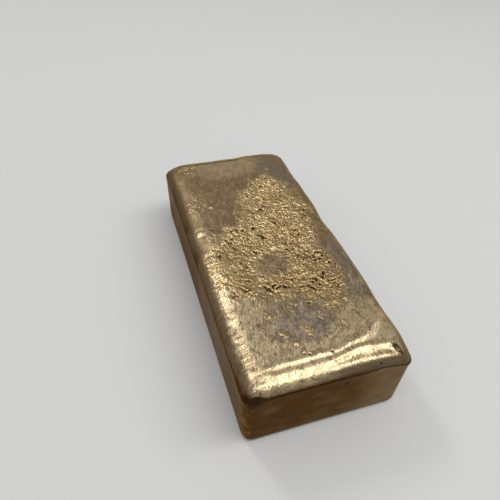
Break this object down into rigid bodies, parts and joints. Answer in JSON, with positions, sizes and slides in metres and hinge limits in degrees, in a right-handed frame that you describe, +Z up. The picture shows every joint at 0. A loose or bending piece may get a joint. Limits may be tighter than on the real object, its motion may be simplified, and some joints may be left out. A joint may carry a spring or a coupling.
{
  "type": "metal ingot",
  "caption": "Small cast brass ingot, a rounded block of raw metal stock with drafted walls and a free-frozen top, for storage, machining or remelting.",
  "frame": {"origin": "middle of the flat floor that the ingot lies on", "axes": "+Z up from the floor to the poured top skin, +Y along the length towards the dipped end, +X across the width"},
  "size_m": [0.036, 0.08, 0.0185],
  "materials": {
    "cast_brass": "as cast, satin, with a tarnished skin and a brighter crystalline patch on top"
  },
  "bodies": {
    "root": {"ingot": "cast_brass"}
  },
  "joints": []
}
